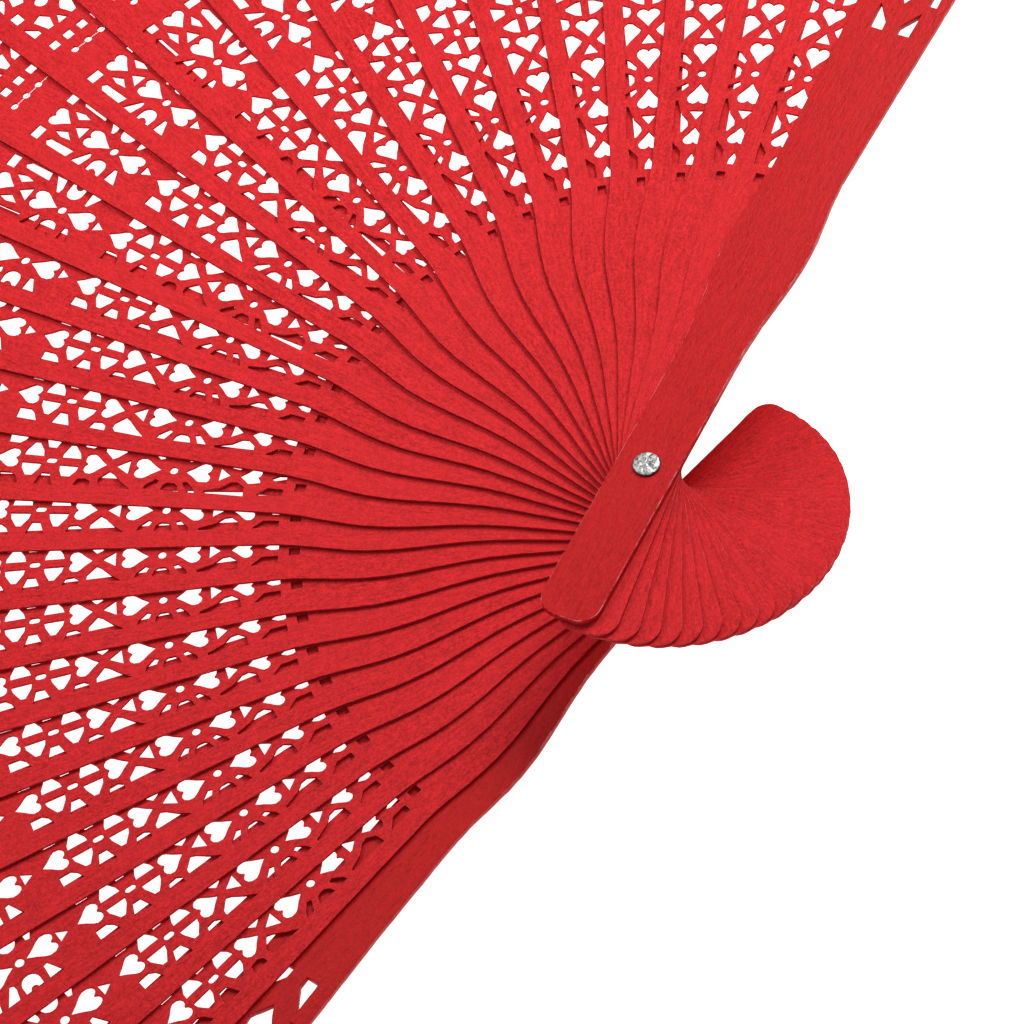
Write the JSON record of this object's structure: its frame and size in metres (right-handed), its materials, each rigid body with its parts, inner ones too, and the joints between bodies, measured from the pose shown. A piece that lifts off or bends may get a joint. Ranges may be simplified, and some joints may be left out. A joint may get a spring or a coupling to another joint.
{
  "type": "folding hand fan",
  "caption": "Folding hand fan of pierced wooden leaves between two guards, turning on one rivet and linked by a thread near the tips.",
  "frame": {"origin": "on the rivet's axis, at the underside of the washer on its tail", "axes": "+Z along the rivet towards its head, +Y along the middle of the open fan, +X towards the front guard's side"},
  "size_m": [0.4142, 0.246, 0.0297],
  "materials": {
    "leaf_wood": "matte",
    "guard_wood": "matte",
    "rivet_metal": "satin",
    "thread": "matte"
  },
  "bodies": {
    "rear_stick": {"rear_guard": "guard_wood", "rivet": "rivet_metal", "rivet_washer": "rivet_metal", "thread_28": "thread"},
    "stick_01": {"leaf_01": "leaf_wood", "thread_01": "thread"},
    "stick_02": {"leaf_02": "leaf_wood", "thread_02": "thread"},
    "stick_03": {"leaf_03": "leaf_wood", "thread_03": "thread"},
    "stick_04": {"leaf_04": "leaf_wood", "thread_04": "thread"},
    "stick_05": {"leaf_05": "leaf_wood", "thread_05": "thread"},
    "stick_06": {"leaf_06": "leaf_wood", "thread_06": "thread"},
    "stick_07": {"leaf_07": "leaf_wood", "thread_07": "thread"},
    "stick_08": {"leaf_08": "leaf_wood", "thread_08": "thread"},
    "stick_09": {"leaf_09": "leaf_wood", "thread_09": "thread"},
    "stick_10": {"leaf_10": "leaf_wood", "thread_10": "thread"},
    "stick_11": {"leaf_11": "leaf_wood", "thread_11": "thread"},
    "stick_12": {"leaf_12": "leaf_wood", "thread_12": "thread"},
    "stick_13": {"leaf_13": "leaf_wood", "thread_13": "thread"},
    "stick_14": {"leaf_14": "leaf_wood", "thread_14": "thread"},
    "stick_15": {"leaf_15": "leaf_wood", "thread_15": "thread"},
    "stick_16": {"leaf_16": "leaf_wood", "thread_16": "thread"},
    "stick_17": {"leaf_17": "leaf_wood", "thread_17": "thread"},
    "stick_18": {"leaf_18": "leaf_wood", "thread_18": "thread"},
    "stick_19": {"leaf_19": "leaf_wood", "thread_19": "thread"},
    "stick_20": {"leaf_20": "leaf_wood", "thread_20": "thread"},
    "stick_21": {"leaf_21": "leaf_wood", "thread_21": "thread"},
    "stick_22": {"leaf_22": "leaf_wood", "thread_22": "thread"},
    "stick_23": {"leaf_23": "leaf_wood", "thread_23": "thread"},
    "stick_24": {"leaf_24": "leaf_wood", "thread_24": "thread"},
    "stick_25": {"leaf_25": "leaf_wood", "thread_25": "thread"},
    "stick_26": {"leaf_26": "leaf_wood", "thread_26": "thread"},
    "stick_27": {"leaf_27": "leaf_wood", "thread_27": "thread"},
    "front_stick": {"front_guard": "guard_wood", "thread_00": "thread"}
  },
  "joints": [
    {"name": "front_turn", "type": "hinge", "parent": "rear_stick", "child": "front_stick", "pos_m": [0, 0, 0], "axis": [0, 0, 1], "range_deg": [0, 169]},
    {"name": "leaf_turn_01", "type": "hinge", "parent": "rear_stick", "child": "stick_01", "pos_m": [0, 0, 0], "axis": [0, 0, 1], "range_deg": [0, 162.47]},
    {"name": "leaf_turn_02", "type": "hinge", "parent": "rear_stick", "child": "stick_02", "pos_m": [0, 0, 0], "axis": [0, 0, 1], "range_deg": [0, 155.96]},
    {"name": "leaf_turn_03", "type": "hinge", "parent": "rear_stick", "child": "stick_03", "pos_m": [0, 0, 0], "axis": [0, 0, 1], "range_deg": [0, 149.47]},
    {"name": "leaf_turn_04", "type": "hinge", "parent": "rear_stick", "child": "stick_04", "pos_m": [0, 0, 0], "axis": [0, 0, 1], "range_deg": [0, 143.01]},
    {"name": "leaf_turn_05", "type": "hinge", "parent": "rear_stick", "child": "stick_05", "pos_m": [0, 0, 0], "axis": [0, 0, 1], "range_deg": [0, 136.6]},
    {"name": "leaf_turn_06", "type": "hinge", "parent": "rear_stick", "child": "stick_06", "pos_m": [0, 0, 0], "axis": [0, 0, 1], "range_deg": [0, 130.23]},
    {"name": "leaf_turn_07", "type": "hinge", "parent": "rear_stick", "child": "stick_07", "pos_m": [0, 0, 0], "axis": [0, 0, 1], "range_deg": [0, 123.93]},
    {"name": "leaf_turn_08", "type": "hinge", "parent": "rear_stick", "child": "stick_08", "pos_m": [0, 0, 0], "axis": [0, 0, 1], "range_deg": [0, 117.69]},
    {"name": "leaf_turn_09", "type": "hinge", "parent": "rear_stick", "child": "stick_09", "pos_m": [0, 0, 0], "axis": [0, 0, 1], "range_deg": [0, 111.51]},
    {"name": "leaf_turn_10", "type": "hinge", "parent": "rear_stick", "child": "stick_10", "pos_m": [0, 0, 0], "axis": [0, 0, 1], "range_deg": [0, 104.74]},
    {"name": "leaf_turn_11", "type": "hinge", "parent": "rear_stick", "child": "stick_11", "pos_m": [0, 0, 0], "axis": [0, 0, 1], "range_deg": [0, 99.34]},
    {"name": "leaf_turn_12", "type": "hinge", "parent": "rear_stick", "child": "stick_12", "pos_m": [0, 0, 0], "axis": [0, 0, 1], "range_deg": [0, 93.34]},
    {"name": "leaf_turn_13", "type": "hinge", "parent": "rear_stick", "child": "stick_13", "pos_m": [0, 0, 0], "axis": [0, 0, 1], "range_deg": [0, 86.75]},
    {"name": "leaf_turn_14", "type": "hinge", "parent": "rear_stick", "child": "stick_14", "pos_m": [0, 0, 0], "axis": [0, 0, 1], "range_deg": [0, 81.5]},
    {"name": "leaf_turn_15", "type": "hinge", "parent": "rear_stick", "child": "stick_15", "pos_m": [0, 0, 0], "axis": [0, 0, 1], "range_deg": [0, 75.64]},
    {"name": "leaf_turn_16", "type": "hinge", "parent": "rear_stick", "child": "stick_16", "pos_m": [0, 0, 0], "axis": [0, 0, 1], "range_deg": [0, 69.81]},
    {"name": "leaf_turn_17", "type": "hinge", "parent": "rear_stick", "child": "stick_17", "pos_m": [0, 0, 0], "axis": [0, 0, 1], "range_deg": [0, 63.35]},
    {"name": "leaf_turn_18", "type": "hinge", "parent": "rear_stick", "child": "stick_18", "pos_m": [0, 0, 0], "axis": [0, 0, 1], "range_deg": [0, 58.2]},
    {"name": "leaf_turn_19", "type": "hinge", "parent": "rear_stick", "child": "stick_19", "pos_m": [0, 0, 0], "axis": [0, 0, 1], "range_deg": [0, 52.41]},
    {"name": "leaf_turn_20", "type": "hinge", "parent": "rear_stick", "child": "stick_20", "pos_m": [0, 0, 0], "axis": [0, 0, 1], "range_deg": [0, 46.62]},
    {"name": "leaf_turn_21", "type": "hinge", "parent": "rear_stick", "child": "stick_21", "pos_m": [0, 0, 0], "axis": [0, 0, 1], "range_deg": [0, 40.83]},
    {"name": "leaf_turn_22", "type": "hinge", "parent": "rear_stick", "child": "stick_22", "pos_m": [0, 0, 0], "axis": [0, 0, 1], "range_deg": [0, 35.03]},
    {"name": "leaf_turn_23", "type": "hinge", "parent": "rear_stick", "child": "stick_23", "pos_m": [0, 0, 0], "axis": [0, 0, 1], "range_deg": [0, 29.21]},
    {"name": "leaf_turn_24", "type": "hinge", "parent": "rear_stick", "child": "stick_24", "pos_m": [0, 0, 0], "axis": [0, 0, 1], "range_deg": [0, 23.39]},
    {"name": "leaf_turn_25", "type": "hinge", "parent": "rear_stick", "child": "stick_25", "pos_m": [0, 0, 0], "axis": [0, 0, 1], "range_deg": [0, 17.55]},
    {"name": "leaf_turn_26", "type": "hinge", "parent": "rear_stick", "child": "stick_26", "pos_m": [0, 0, 0], "axis": [0, 0, 1], "range_deg": [0, 11.71]},
    {"name": "leaf_turn_27", "type": "hinge", "parent": "rear_stick", "child": "stick_27", "pos_m": [0, 0, 0], "axis": [0, 0, 1], "range_deg": [0, 5.86]}
  ],
  "couplings": [
    {"joint": "leaf_turn_01", "follows": "front_turn", "ratio": 0.96138},
    {"joint": "leaf_turn_02", "follows": "front_turn", "ratio": 0.92282},
    {"joint": "leaf_turn_03", "follows": "front_turn", "ratio": 0.88441},
    {"joint": "leaf_turn_04", "follows": "front_turn", "ratio": 0.8462},
    {"joint": "leaf_turn_05", "follows": "front_turn", "ratio": 0.80825},
    {"joint": "leaf_turn_06", "follows": "front_turn", "ratio": 0.77061},
    {"joint": "leaf_turn_07", "follows": "front_turn", "ratio": 0.73331},
    {"joint": "leaf_turn_08", "follows": "front_turn", "ratio": 0.69637},
    {"joint": "leaf_turn_09", "follows": "front_turn", "ratio": 0.65981},
    {"joint": "leaf_turn_10", "follows": "front_turn", "ratio": 0.61978},
    {"joint": "leaf_turn_11", "follows": "front_turn", "ratio": 0.58781},
    {"joint": "leaf_turn_12", "follows": "front_turn", "ratio": 0.55232},
    {"joint": "leaf_turn_13", "follows": "front_turn", "ratio": 0.51331},
    {"joint": "leaf_turn_14", "follows": "front_turn", "ratio": 0.48225},
    {"joint": "leaf_turn_15", "follows": "front_turn", "ratio": 0.44757},
    {"joint": "leaf_turn_16", "follows": "front_turn", "ratio": 0.41306},
    {"joint": "leaf_turn_17", "follows": "front_turn", "ratio": 0.37484},
    {"joint": "leaf_turn_18", "follows": "front_turn", "ratio": 0.34439},
    {"joint": "leaf_turn_19", "follows": "front_turn", "ratio": 0.31013},
    {"joint": "leaf_turn_20", "follows": "front_turn", "ratio": 0.27587},
    {"joint": "leaf_turn_21", "follows": "front_turn", "ratio": 0.24159},
    {"joint": "leaf_turn_22", "follows": "front_turn", "ratio": 0.20726},
    {"joint": "leaf_turn_23", "follows": "front_turn", "ratio": 0.17286},
    {"joint": "leaf_turn_24", "follows": "front_turn", "ratio": 0.13839},
    {"joint": "leaf_turn_25", "follows": "front_turn", "ratio": 0.10386},
    {"joint": "leaf_turn_26", "follows": "front_turn", "ratio": 0.069276},
    {"joint": "leaf_turn_27", "follows": "front_turn", "ratio": 0.034648}
  ]
}
